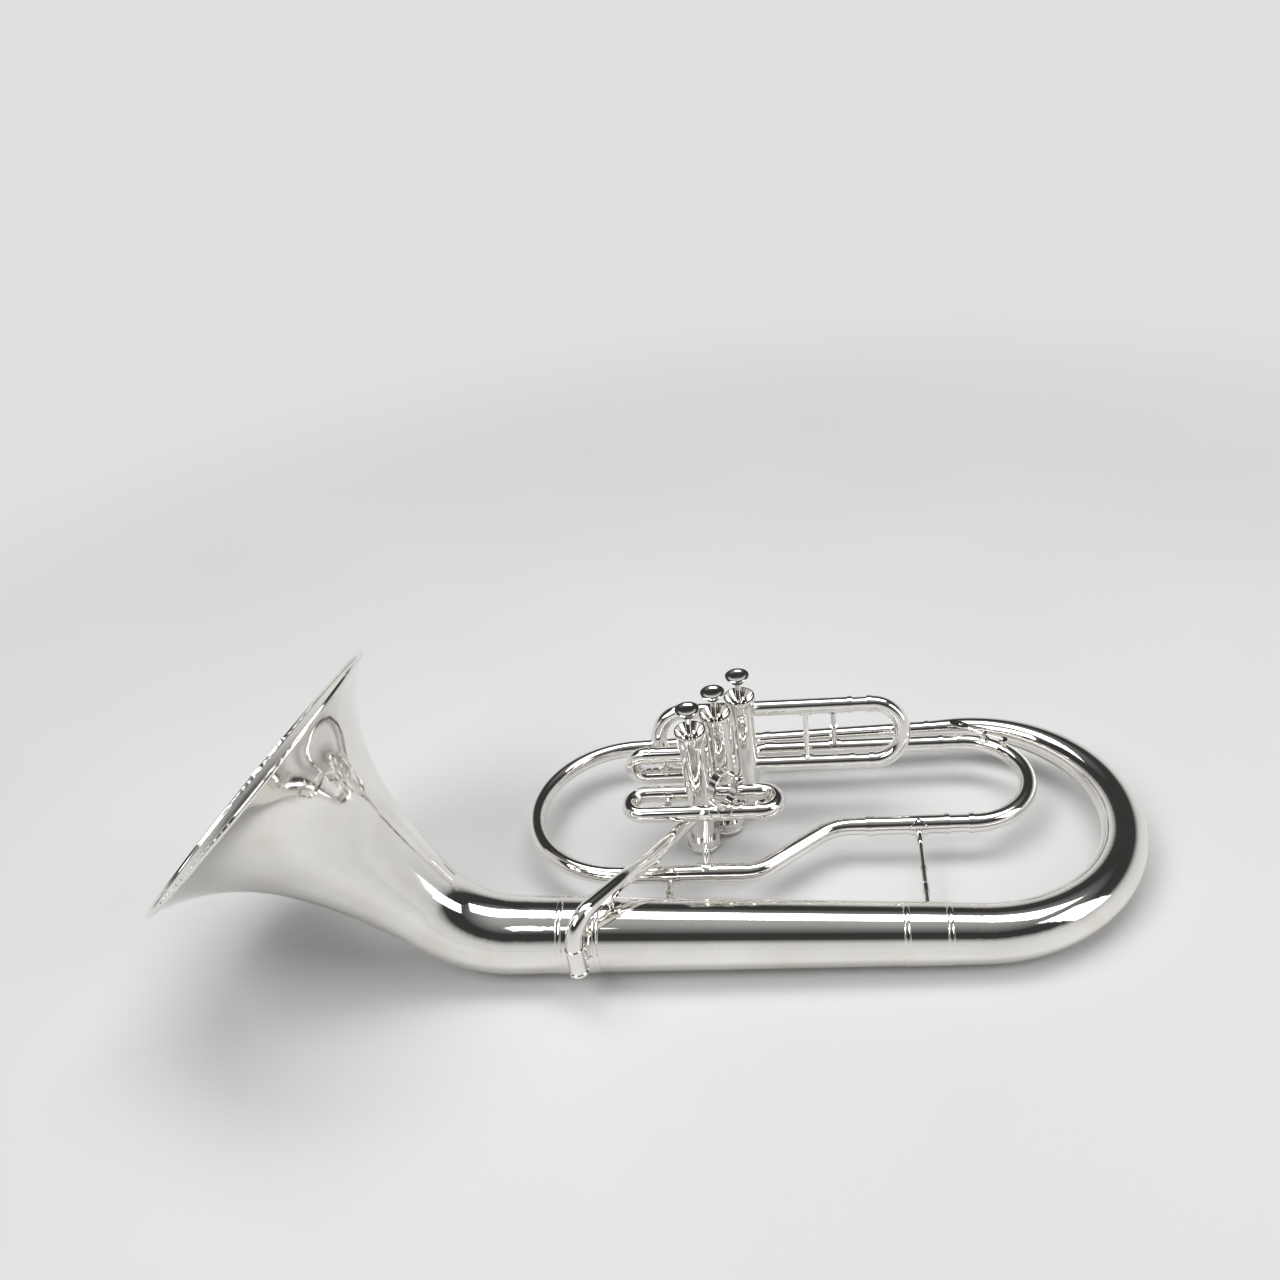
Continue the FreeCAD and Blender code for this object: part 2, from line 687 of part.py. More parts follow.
add_crook("third_slide_crook", slide_crook(
    third_legs[0], third_legs[1], (third_end, third_end), size("third_right") - third_bow_radius, 1,
    size("third_insert"), VALVE_SLIDE_RADII))


# ---------------------------------------------------------------- main tuning slide

high_leg = Vector(0, size("tuning_high_y"), size("tuning_high_z"))
low_leg = Vector(0, size("tuning_low_y"), 0)
high_start, high_end = size("tuning_high_start"), size("tuning_high_end")
low_start, low_end = size("tuning_low_start"), size("tuning_low_end")

add_shape("exit_tube", coped(tube_along(
    [THIRD + Z * EXIT_Z, high_leg + X * THIRD.x, high_leg + X * high_start],
    [size("exit_bend")], INNER, BORE), THIRD))


def tuning_sleeve(axis, start, end, radii, tube_radius):
    """An outer tube of the tuning slide, with a ferrule that takes the tube before it."""
    outer, bore = radii
    joint = pipe_between(axis + X * (start - RING), axis + X * start, outer + FERRULE, tube_radius)
    tube = pipe_between(axis + X * start, axis + X * end, outer, bore)
    ring = sleeve_ring(axis + X * end, 1, outer, bore)
    return fused([joint, pipe_between(axis + X * start, axis + X * (start + RING), outer + FERRULE, bore),
                  tube, ring])


add_shape("tuning_high_sleeve", tuning_sleeve(high_leg, high_start, high_end, (SLEEVE, SLEEVE_BORE), INNER))
add_shape("tuning_low_sleeve",
          tuning_sleeve(low_leg, low_start, low_end, (LOW_SLEEVE, LOW_SLEEVE_BORE), BRANCH))

tuning_bow_radius = (high_leg - low_leg).Length / 2
tuning_bow_x = size("tuning_right") - tuning_bow_radius
crook, crook_bore = slide_crook(
    high_leg, low_leg, (high_end, low_end), tuning_bow_x, 1, size("tuning_insert"),
    [(BORE, INNER, SLEEVE), (LOW_BORE, LOW_INNER, LOW_SLEEVE)])

# The water key stands on the crook, over the start of its bow
key_turn = math.radians(size("key_turn"))
crook_down = (low_leg - high_leg).normalize()
key_foot = (high_leg + X * (tuning_bow_x + tuning_bow_radius * math.sin(key_turn))
            + crook_down * (tuning_bow_radius * (1 - math.cos(key_turn))))
nipple_top = key_foot + Z * (SLEEVE + size("key_nipple_height"))
nipple = rod(key_foot + Z * BORE, nipple_top, size("key_nipple_radius"))
drain = rod(key_foot, nipple_top + Z, size("key_nipple_radius") / 2)
add_shape("tuning_crook", fused([crook, nipple]).cut(crook_bore).cut(drain))


# ---------------------------------------------------------------- water key

lever_way = polar(1, size("key_heading"))
pin_way = polar(1, size("key_heading") + 90)
pivot = Vector(key_foot + lever_way * size("key_pivot_gap"))
pivot.z = key_foot.z + SLEEVE + size("key_height")
hub_length, ear, spring_width = size("key_hub_length"), size("key_ear"), size("key_spring_width")
pin_radius = size("key_pin_radius")
hub_radius = 2 * pin_radius + GAP
inside = hub_length + spring_width + 3 * GAP


def across_pin(start, width, radius):
    """A round piece on the pin's axis; start is its near face, measured from the pivot."""
    return rod(pivot + pin_way * start, pivot + pin_way * (start + width), radius)


ears = []
for start in (-inside / 2 - ear, inside / 2):
    ears.append(across_pin(start, ear, hub_radius))
    post = Part.makeBox(2 * hub_radius, ear, pivot.z - key_foot.z, Vector(-hub_radius, 0, 0))
    post.Placement = Placement(Vector(pivot.x, pivot.y, key_foot.z) + pin_way * start,
                               Rotation(Z, size("key_heading")))
    ears.append(post)
seat_radius = inside / 2 + 2 * ear
seat = rod(Vector(pivot.x, pivot.y, key_foot.z), Vector(pivot.x, pivot.y, key_foot.z + SLEEVE + ear),
           seat_radius)
saddle = fused([seat] + ears).cut(crook).cut(across_pin(-inside, 2 * inside, pin_radius))
add_shape("water_key_saddle", saddle)
add_shape("water_key_pin", across_pin(-inside / 2 - ear, inside + 2 * ear, pin_radius))

hub_start = -inside / 2 + GAP
running_hole = across_pin(-inside, 2 * inside, pin_radius + size("slide_clearance"))
cup_base = nipple_top + Z * (GAP + size("key_cork_height"))
cup_top = cup_base + Z * size("key_cup_height")
pad_radius, arm_radius = size("key_pad_radius"), size("key_arm_radius")
touch_length, touch_thickness = size("key_touch_length"), size("key_touch_thickness")
arm_middle = pivot + pin_way * (hub_start + hub_length / 2)
touch_tip = arm_middle + lever_way * size("key_reach") + Z * size("key_touch_rise")
touch_oval = Part.Ellipse(Vector(), touch_length / 2, size("key_touch_width") / 2)
touch_plate = Part.Face(Part.Wire(touch_oval.toShape())).extrude(Z * touch_thickness)
touch_plate.Placement = Placement(touch_tip - lever_way * (touch_length / 2), Rotation(Z, size("key_heading")))
lever = fused([
    across_pin(hub_start, hub_length, hub_radius),
    rod(arm_middle, touch_tip - lever_way * (touch_length / 2) + Z * (touch_thickness / 2), arm_radius),
    touch_plate,
    rod(arm_middle, cup_top, arm_radius),
    rod(cup_base, cup_top, pad_radius),
]).cut(running_hole)
add_shape("water_key_lever", lever)
add_shape("water_key_cork", rod(nipple_top + Z * GAP, cup_base, pad_radius - GAP))
spring_start = hub_start + hub_length + GAP
add_shape("water_key_spring", across_pin(spring_start, spring_width, hub_radius).cut(
    across_pin(spring_start, spring_width, pin_radius + GAP)))


# ---------------------------------------------------------------- branch

joint_x = size("branch_joint_x")
add_shape("s_bend", tube_along(
    [low_leg + X * low_start, low_leg + X * size("s_bend_high_x"), X * size("s_bend_low_x"), X * joint_x],
    [size("s_bend_high_radius"), size("s_bend_low_radius")], BRANCH, BRANCH_BORE))

slant = math.radians(size("top_slant"))
top_way = Vector(math.cos(slant), math.sin(slant), 0)
bow_radius = size("left_bow_radius")
bow_centre = Vector(size("left_bow_x"), bow_radius, 0)
left_bow_start = X * size("left_bow_x")
left_bow_far = bow_centre - X * bow_radius
left_bow_end = bow_centre + Vector(-bow_radius * math.sin(slant), bow_radius * math.cos(slant), 0)


def on_top(x):
    """The point of the top branch's axis at x."""
    return left_bow_end + top_way * ((x - left_bow_end.x) / top_way.x)


left_path = Part.Wire([
    Part.LineSegment(X * joint_x, left_bow_start).toShape(),
    Part.Arc(left_bow_start, left_bow_far, left_bow_end).toShape(),
    Part.LineSegment(left_bow_end, on_top(size("top_joint_x"))).toShape()])
add_shape("left_bow", left_path.makePipe(Part.Face(disc_wire(X * joint_x, X, BRANCH))).cut(
    left_path.makePipe(Part.Face(disc_wire(X * joint_x, X, BRANCH_BORE)))))
bow_joint = on_top(size("bow_joint_x"))
add_shape("top_branch", pipe_between(on_top(size("top_joint_x")), bow_joint, BRANCH, BRANCH_BORE))
joint_half = X * (size("branch_joint_length") / 2)
joint_end = X * (size("branch_joint_length") / 2 - RING / 2)
long_ferrule = fused([
    pipe_between(X * joint_x - joint_half, X * joint_x + joint_half, BRANCH + FERRULE / 2, BRANCH),
    band(X * joint_x - joint_end, X, BRANCH + FERRULE, BRANCH),
    band(X * joint_x + joint_end, X, BRANCH + FERRULE, BRANCH)])
add_shape("branch_ferrules", Part.makeCompound([
    long_ferrule,
    band(on_top(size("top_joint_x")), top_way, BRANCH + FERRULE, BRANCH, 1.5 * RING),
    band(bow_joint - top_way * (RING / 2), top_way, BRANCH + FERRULE, BRANCH)]))


# ---------------------------------------------------------------- bottom bow and bell stem

def stem_radius_at(x):
    """The stem is one long cone, from the bow to the bell joint."""
    share = (size("bow_x") - x) / (size("bow_x") - size("bell_joint_x"))
    return size("stem_bow_radius") + share * (size("bell_joint_radius") - size("stem_bow_radius"))


def stem_axis_at(x):
    """The stem's axis rises with its radius, so that its underside is level."""
    return Vector(x, size("stem_y"), size("floor_z") + stem_radius_at(x) + FERRULE)


stem_start = stem_axis_at(size("bow_x"))
stem_way = (stem_axis_at(size("bell_joint_x")) - stem_start).normalize()
top_start = on_top(size("bow_x") - 5)
bow_across = top_start - stem_start
bow_up = Vector(0, bow_across.y, bow_across.z).normalize()
big_radius = bow_across.y / bow_up.y / (1 + math.cos(slant))
big_centre = stem_start + bow_up * big_radius
big_start = big_centre + X * (-big_radius * math.sin(slant)) + bow_up * (big_radius * math.cos(slant))


def on_big_bow(turn):
    """A point of the bottom bow's axis and its heading, turn degrees after the top of the bow."""
    angle = math.radians(turn)
    point = big_centre + X * (big_radius * math.sin(angle)) + bow_up * (big_radius * math.cos(angle))
    return point, X * math.cos(angle) - bow_up * math.sin(angle)


def bottom_bow_solid(inset):
    """The bow as a solid horn; the inset makes its bore."""
    stem_joint = stem_axis_at(size("stem_joint_x"))
    turns = [-size("top_slant") + share * (180 + size("top_slant")) for share in (0, 0.25, 0.5, 0.75, 1)]
    spots = [on_big_bow(turn) for turn in turns]
    path = Part.Wire([
        Part.LineSegment(bow_joint, spots[0][0]).toShape(),
        Part.Arc(spots[0][0], spots[2][0], spots[4][0]).toShape(),
        Part.LineSegment(spots[4][0], stem_joint).toShape()])
    growth = size("stem_bow_radius") - size("bow_start_radius")
    sections = [(bow_joint, top_way, BRANCH - inset)]
    for share, (point, heading) in zip((0, 0.25, 0.5, 0.75, 1), spots):
        radius = size("bow_start_radius") + growth * share ** size("bow_growth")
        sections.append((point, heading, radius - inset))
    sections.append((stem_joint, stem_way, stem_radius_at(size("stem_joint_x")) - inset))
    return swept_cone(path, sections)


add_shape("bottom_bow", bottom_bow_solid(0).cut(bottom_bow_solid(size("branch_wall"))))


def stem_cone(start_x, end_x, grow):
    """A stretch of the stem's cone, grown or shrunk by a wall."""
    start, end = stem_axis_at(start_x), stem_axis_at(end_x)
    return Part.makeCone(stem_radius_at(start_x) + grow, stem_radius_at(end_x) + grow,
                         (end - start).Length, start, end - start)


stem_ends = (size("stem_joint_x"), size("bell_joint_x"))
add_shape("bell_stem", stem_cone(*stem_ends, 0).cut(stem_cone(*stem_ends, -size("branch_wall"))))


# ---------------------------------------------------------------- bell

bell_start = stem_axis_at(size("bell_joint_x"))
bell_corner = bell_start + stem_way * ((bell_start.x - size("bell_corner_x")) / -stem_way.x)
rise = math.radians(size("bell_bend_angle"))
lean = math.radians(size("bell_lean"))
bell_way = Vector(-math.cos(rise), math.sin(rise) * math.sin(lean), math.sin(rise) * math.cos(lean))
rim_centre = bell_corner + bell_way * size("bell_reach")
bell_path = route([bell_start, bell_corner, rim_centre], [size("bell_bend_radius")])
bend_end = bell_path.OrderedEdges[1].Vertexes[-1].Point
bend_edges = Part.Wire(bell_path.OrderedEdges[:2])
flare_length = (rim_centre - bend_end).Length


def flare_radius(height):
    """The flare opens as a hyperbola towards the rim."""
    return size("bell_rim_radius") * size("bell_flare") / (flare_length - height + size("bell_flare"))


def flare_slope(height):
    return flare_radius(height) / (flare_length - height + size("bell_flare"))


def inset_radius(height, wall):
    """The flare's radius less a wall, measured square to the surface."""
    return flare_radius(height) - wall * math.sqrt(1 + flare_slope(height) ** 2)


def bell_bend(inset):
    bend_start = bell_path.OrderedEdges[1].Vertexes[0].Point
    throat = flare_radius(0)
    middle_radius = (size("bell_joint_radius") + throat) / 2
    return swept_cone(bend_edges, [
        (bell_start, stem_way, size("bell_joint_radius") - inset),
        (bend_start, stem_way, (size("bell_joint_radius") + middle_radius) / 2 - inset),
        (bend_end, bell_way, inset_radius(0, inset))])


def flare_curve(inset):
    """The flare's profile in its own XZ plane, as a spline through points of the hyperbola."""
    points = []
    for step in range(13):
        height = flare_length * (1 - (1 - step / 12) ** 1.6)
        points.append(Vector(inset_radius(height, inset), 0, height))
    curve = Part.BSplineCurve()
    curve.interpolate(points)
    return curve.toShape(), points


bell_wall = size("bell_wall")
outside, outside_points = flare_curve(0)
lining, lining_points = flare_curve(bell_wall)
profile = Part.Wire([
    outside, Part.LineSegment(outside_points[-1], lining_points[-1]).toShape(),
    lining, Part.LineSegment(lining_points[0], outside_points[0]).toShape()])
flare = Part.Face(profile).revolve(Vector(), Z, 360)
bead_radius = size("bell_bead")
bead = Part.makeTorus(size("bell_rim_radius") - bead_radius / 2, bead_radius, Z * flare_length)
flare = flare.fuse(bead)
flare.Placement = Placement(bend_end, Rotation(Z, bell_way))
bell = fused([bell_bend(0).cut(bell_bend(bell_wall)), flare])
add_shape("bell", bell)


# ---------------------------------------------------------------- stem ferrules

def joint_ferrule(middle, length, horn):
    """A thin sleeve over a joint of the horn, with a raised ring at each end.

    horn(wall) is the outside of the horn there, grown by a wall.
    """
    point = stem_axis_at(middle)

    def stretch(start, end):
        return rod(point + stem_way * start, point + stem_way * end, 2 * size("bell_joint_radius"))

    half = length / 2
    thick = horn(FERRULE)
    return fused([
        horn(FERRULE / 2).common(stretch(-half, half)),
        thick.common(stretch(-half, RING - half)),
        thick.common(stretch(half - RING, half))]).cut(horn(size("solder_gap")))


stem_joint, bell_joint = size("stem_joint_x"), size("bell_joint_x")
stem_grip, bell_grip = size("stem_joint_length"), size("bell_joint_length")
stem_sleeve = joint_ferrule(
    stem_joint, stem_grip, lambda wall: stem_cone(stem_joint + stem_grip, stem_joint - stem_grip, wall))
bell_sleeve = joint_ferrule(
    bell_joint, bell_grip,
    lambda wall: stem_cone(bell_joint + bell_grip, bell_joint, wall).fuse(bell_bend(-wall)))
add_shape("stem_ferrules", Part.makeCompound([stem_sleeve, bell_sleeve]))


# ---------------------------------------------------------------- braces and finger ring

brace_reach = 3 * size("flange_radius")


def stem_brace(point, x, radius, axis):
    """A brace from a tube down to the stem, its foot shaped to the stem's cone."""
    brace = brace_between(point, stem_axis_at(x), radius, stem_radius_at(x), axis, stem_way)
    return brace.cut(stem_cone(x + brace_reach, x - brace_reach, 0))


long_x, lower_x, stem_x = size("long_brace_x"), size("lower_brace_x"), size("stem_brace_x")
add_shape("long_brace", brace_between(
    low_leg + X * long_x, stem_axis_at(long_x), LOW_SLEEVE, stem_radius_at(long_x) + FERRULE / 2,
    X, stem_way).cut(stem_cone(long_x + brace_reach, long_x - brace_reach, FERRULE / 2 + size("solder_gap"))))
add_shape("branch_brace", brace_between(
    Vector(lower_x, near_y, first_z), X * lower_x, SLEEVE, BRANCH, X, X))
add_shape("stem_brace", stem_brace(X * stem_x, stem_x, BRANCH, X))


def sleeve_brace(x, from_leg, to_leg):
    """A light brace between two outer tubes that run along X."""
    return brace_between(from_leg + X * x, to_leg + X * x, SLEEVE, SLEEVE, X, X, "small_flange_radius")


add_shape("third_slide_braces", Part.makeCompound([
    sleeve_brace(size("third_brace_x"), *third_legs),
    sleeve_brace(size("third_tie_x"), third_legs[0], high_leg)]))

add_shape("slide_braces", Part.makeCompound([
    sleeve_brace(size("first_brace_x"), Vector(0, near_y, first_z), Vector(0, FIRST.y, first_z)),
    sleeve_brace(size("second_brace_x"), *second_legs)]))

tie_x = size("top_tie_x")
add_shape("top_ties", brace_between(high_leg + X * tie_x, on_top(tie_x), SLEEVE, BRANCH, X, top_way))

over = LEAD_ROUTE[1] + (LEAD_ROUTE[2] - LEAD_ROUTE[1]) * (
    (size("stem_y") - LEAD_ROUTE[1].y) / (LEAD_ROUTE[2].y - LEAD_ROUTE[1].y))
add_shape("leadpipe_brace", stem_brace(over, over.x, INNER, LEAD_ROUTE[2] - LEAD_ROUTE[1]))

# The finger ring is an upright oval band, square to the line of the valves, on a saddle flange
ring_foot = Vector(size("ring_x"), near_y, first_z)
seat_top = SLEEVE + size("flange_thickness")
ring_centre = ring_foot + Z * (seat_top + size("ring_height") / 2 - size("ring_wall") / 2)


def oval(inset):
    """The ring's upright outline as a face, its long axis along Z."""
    outline = Part.Ellipse(Vector(), size("ring_height") / 2 - inset, size("ring_breadth") / 2 - inset)
    face = Part.Face(Part.Wire(outline.toShape()))
    face.rotate(Vector(), Y, -90)
    return face


ring = oval(0).cut(oval(size("ring_wall"))).extrude(X * size("ring_band"))
ring.translate(X * (-size("ring_band") / 2))
ring.rotate(Vector(), Z, VALVE_LINE + 90)
ring.translate(ring_centre)
half_seat = X * (2 * size("small_flange_radius"))
flange = pipe_between(ring_foot - half_seat, ring_foot + half_seat, seat_top, SLEEVE)
flange = flange.common(rod(ring_foot, ring_foot + Z * (2 * SLEEVE), size("flange_radius")))
add_shape("finger_ring", fused([ring, flange]))


# ---------------------------------------------------------------- checks and export

doc.recompute()
for item in doc.Objects:
    if "Invalid" in item.State or "Error" in item.State:
        raise RuntimeError(f"{item.Label} failed: {item.State}")
for node in nodes:
    if node.Shape.isNull() or not node.Shape.isValid():
        raise RuntimeError(f"{node.Label} has no valid shape")
    if not node.Shape.Solids:
        raise RuntimeError(f"{node.Label} holds no solid")

os.makedirs("parts", exist_ok=True)
for node in nodes:
    node.Shape.exportStep(f"parts/{node.Label}.step")
print(len(nodes), "nodes")
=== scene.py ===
"""Looks of the baritone horn: silver plate, knurled caps, felts, cork, a pale floor and soft light."""
import json
import math

import bmesh
import bpy
import numpy as np
from mathutils import Matrix, Vector


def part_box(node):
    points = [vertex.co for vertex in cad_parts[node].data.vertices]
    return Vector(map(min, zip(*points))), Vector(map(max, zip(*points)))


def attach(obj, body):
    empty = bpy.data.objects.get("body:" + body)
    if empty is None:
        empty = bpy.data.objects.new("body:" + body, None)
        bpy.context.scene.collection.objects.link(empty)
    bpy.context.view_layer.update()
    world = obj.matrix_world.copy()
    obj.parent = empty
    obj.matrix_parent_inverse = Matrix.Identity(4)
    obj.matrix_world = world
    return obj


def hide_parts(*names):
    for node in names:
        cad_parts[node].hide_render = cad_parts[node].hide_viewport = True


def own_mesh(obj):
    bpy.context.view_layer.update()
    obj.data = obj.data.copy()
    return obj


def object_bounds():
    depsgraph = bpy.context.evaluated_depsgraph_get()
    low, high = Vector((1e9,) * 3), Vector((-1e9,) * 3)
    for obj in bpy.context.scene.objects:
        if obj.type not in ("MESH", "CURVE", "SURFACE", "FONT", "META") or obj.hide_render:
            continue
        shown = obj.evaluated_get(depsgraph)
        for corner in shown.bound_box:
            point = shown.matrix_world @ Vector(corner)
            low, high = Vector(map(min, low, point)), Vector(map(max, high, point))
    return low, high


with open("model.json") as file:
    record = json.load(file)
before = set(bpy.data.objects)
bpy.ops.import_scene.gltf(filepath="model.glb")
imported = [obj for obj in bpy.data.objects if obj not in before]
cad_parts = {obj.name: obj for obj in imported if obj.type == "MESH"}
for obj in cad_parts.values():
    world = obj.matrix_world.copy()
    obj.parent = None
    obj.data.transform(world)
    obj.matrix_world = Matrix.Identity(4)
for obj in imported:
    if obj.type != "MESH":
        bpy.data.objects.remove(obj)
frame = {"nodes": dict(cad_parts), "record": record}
cad_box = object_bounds()
LOW, HIGH = Vector(cad_box[0]), Vector(cad_box[1])
RECORD = frame["record"]
MM = 0.001
UP = Vector((0, 0, 1))
VALVES = ("first", "second", "third")
SHARP_EDGE = math.radians(32)
WELD_DISTANCE = 1e-6


# ---------------------------------------------------------------- materials

def new_material(name):
    """A material with a plain Principled surface, its node tree and that surface's node."""
    material = bpy.data.materials.new(name)
    material.use_nodes = True
    tree = material.node_tree
    shader = tree.nodes["Principled BSDF"]
    return material, tree, shader


def add_noise(tree, scale, detail, roughness=0.5):
    """Noise in the object's own coordinates, so that it stays put when a body moves."""
    place = tree.nodes.new("ShaderNodeTexCoord")
    noise = tree.nodes.new("ShaderNodeTexNoise")
    noise.inputs["Scale"].default_value = scale
    noise.inputs["Detail"].default_value = detail
    noise.inputs["Roughness"].default_value = roughness
    tree.links.new(place.outputs["Object"], noise.inputs["Vector"])
    return noise.outputs["Fac"]


def add_ramp(tree, factor, stops):
    """A colour ramp with (position, colour) stops."""
    ramp = tree.nodes.new("ShaderNodeValToRGB")
    elements = ramp.color_ramp.elements
    while len(elements) < len(stops):
        elements.new(0.5)
    for element, (position, colour) in zip(elements, stops):
        element.position = position
        element.color = (*colour, 1)
    tree.links.new(factor, ramp.inputs["Fac"])
    return ramp.outputs["Color"]


def add_range(tree, factor, low, high):
    """Maps a 0 to 1 factor to a low to high number."""
    mapped = tree.nodes.new("ShaderNodeMapRange")
    mapped.inputs["To Min"].default_value = low
    mapped.inputs["To Max"].default_value = high
    tree.links.new(factor, mapped.inputs["Value"])
    return mapped.outputs["Result"]


def add_bump(tree, shader, factor, strength, distance):
    """Gives a surface a relief; the distance is in metres."""
    bump = tree.nodes.new("ShaderNodeBump")
    bump.inputs["Strength"].default_value = strength
    bump.inputs["Distance"].default_value = distance
    tree.links.new(factor, bump.inputs["Height"])
    tree.links.new(bump.outputs["Normal"], shader.inputs["Normal"])


def add_hairlines(tree, along):
    """Noise drawn out along one axis of the object: the fine lines that a polishing cloth leaves."""
    place = tree.nodes.new("ShaderNodeTexCoord")
    stretch = tree.nodes.new("ShaderNodeMapping")
    stretch.inputs["Scale"].default_value = along
    tree.links.new(place.outputs["Object"], stretch.inputs["Vector"])
    noise = tree.nodes.new("ShaderNodeTexNoise")
    noise.inputs["Scale"].default_value = 1.0
    noise.inputs["Detail"].default_value = 4
    tree.links.new(stretch.outputs["Vector"], noise.inputs["Vector"])
    return noise.outputs["Fac"]


HAIRLINE_SHARE = 0.02


def plated_metal(name, bright, dull, warm, roughness):
    """Polished plate: bloom and warm tarnish in the colour, smudges in the gloss, hairlines, soft waves."""
    material, tree, shader = new_material(name)
    shader.inputs["Metallic"].default_value = 1.0
    bloom = add_ramp(tree, add_noise(tree, scale=14, detail=3), [(0.35, dull), (0.65, bright)])
    stains = add_noise(tree, scale=33, detail=5, roughness=0.6)
    tarnish = add_ramp(tree, stains, [(0.55, (0, 0, 0)), (0.78, (0.6, 0.6, 0.6))])
    tint = tree.nodes.new("ShaderNodeMixRGB")
    tint.inputs["Color2"].default_value = (*warm, 1)
    tree.links.new(tarnish, tint.inputs["Fac"])
    tree.links.new(bloom, tint.inputs["Color1"])
    tree.links.new(tint.outputs["Color"], shader.inputs["Base Color"])
    smudge = add_noise(tree, scale=38, detail=6, roughness=0.62)
    tree.links.new(add_range(tree, smudge, *roughness), shader.inputs["Roughness"])
    relief = tree.nodes.new("ShaderNodeMath")
    relief.operation = "MULTIPLY_ADD"
    relief.inputs[1].default_value = HAIRLINE_SHARE
    tree.links.new(add_hairlines(tree, along=(60, 2200, 2200)), relief.inputs[0])
    tree.links.new(add_noise(tree, scale=9, detail=1), relief.inputs[2])
    add_bump(tree, shader, relief.outputs["Value"], strength=0.04, distance=0.002)
    return material


def felt_material():
    """Dark wool felt with a little sheen."""
    material, tree, shader = new_material("wool_felt")
    fibre = add_noise(tree, scale=900, detail=8, roughness=0.7)
    tree.links.new(add_ramp(tree, fibre, [(0.3, (0.035, 0.035, 0.038)), (0.75, (0.13, 0.13, 0.135))]),
                   shader.inputs["Base Color"])
    shader.inputs["Roughness"].default_value = 1.0
    shader.inputs["Sheen Weight"].default_value = 0.5
    add_bump(tree, shader, fibre, strength=0.6, distance=0.0004)
    return material


def cork_material():
    """Pale grained cork."""
    material, tree, shader = new_material("natural_cork")
    grain = add_noise(tree, scale=700, detail=5, roughness=0.6)
    tree.links.new(add_ramp(tree, grain, [(0.35, (0.62, 0.50, 0.34)), (0.6, (0.86, 0.78, 0.62))]),
                   shader.inputs["Base Color"])
    shader.inputs["Roughness"].default_value = 0.85
    add_bump(tree, shader, grain, strength=0.5, distance=0.0003)
    return material


MATERIALS = {
    "silver": plated_metal("silver_plate", bright=(0.91, 0.895, 0.865), dull=(0.82, 0.80, 0.765),
                           warm=(0.80, 0.74, 0.64), roughness=(0.02, 0.11)),
    "piston_nickel": plated_metal("lapped_nickel", bright=(0.80, 0.79, 0.77), dull=(0.70, 0.69, 0.67),
                                  warm=(0.70, 0.66, 0.60), roughness=(0.14, 0.28)),
    "spring_steel": plated_metal("spring_wire", bright=(0.66, 0.66, 0.66), dull=(0.52, 0.52, 0.53),
                                 warm=(0.56, 0.52, 0.46), roughness=(0.22, 0.4)),
    "felt": felt_material(),
    "cork": cork_material(),
}
SLOT_OF = {item["node"]: item["material_slot"] for item in RECORD["subparts"]}


def dress_node(name, node):
    """Gives a CAD node its finish and smooth shading between its sharp edges."""
    node.data.materials.clear()
    node.data.materials.append(MATERIALS[SLOT_OF[name]])
    for face in node.data.polygons:
        face.use_smooth = True
    weld = node.modifiers.new("weld", "WELD")
    weld.merge_threshold = WELD_DISTANCE
    split = node.modifiers.new("split", "EDGE_SPLIT")
    split.split_angle = SHARP_EDGE


for node_name, cad_node in frame["nodes"].items():
    dress_node(node_name, cad_node)


# ---------------------------------------------------------------- turned and bent details

def show_piece(name, mesh, body, slot, smooth=True):
    """Makes a mesh a piece of the horn: its finish, its shading and the body it moves with."""
    for face in mesh.polygons:
        face.use_smooth = smooth
    mesh.materials.append(MATERIALS[slot])
    piece = bpy.data.objects.new(name, mesh)
    bpy.context.scene.collection.objects.link(piece)
    if smooth:
        split = piece.modifiers.new("split", "EDGE_SPLIT")
        split.split_angle = SHARP_EDGE
    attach(piece, body)
    return piece


def frame_along(axis):
    """Two directions square to an axis and to each other."""
    side = axis.orthogonal().normalized()
    return side, axis.cross(side).normalized()


def ring_mesh(name, rings, where, axis):
    """A closed band of rings, each (height, radii round it); the last ring joins the first."""
    side, other = frame_along(axis)
    shape = bmesh.new()
    loops = []
    for height, radii in rings:
        loop = []
        for step, radius in enumerate(radii):
            turn = 2 * math.pi * step / len(radii)
            outward = side * math.cos(turn) + other * math.sin(turn)
            loop.append(shape.verts.new(where + axis * height + outward * radius))
        loops.append(loop)
    count = len(loops[0])
    for low, high in zip(loops, loops[1:] + loops[:1]):
        for step in range(count):
            after = (step + 1) % count
            shape.faces.new((low[step], low[after], high[after], high[step]))
    bmesh.ops.recalc_face_normals(shape, faces=shape.faces)
    mesh = bpy.data.meshes.new(name)
    shape.to_mesh(mesh)
    shape.free()
    return mesh


def add_turning(name, profile, where, axis, body, slot, steps=72):
    """A turned band; the profile is a closed outline of (radius, height) in millimetres."""
    rings = [(height * MM, [radius * MM] * steps) for radius, height in profile]
    return show_piece(name, ring_mesh(name, rings, where, axis), body, slot)


KNURL_TEETH = 76
KNURL_DEPTH = 0.38
KNURL_CHAMFER = 0.45


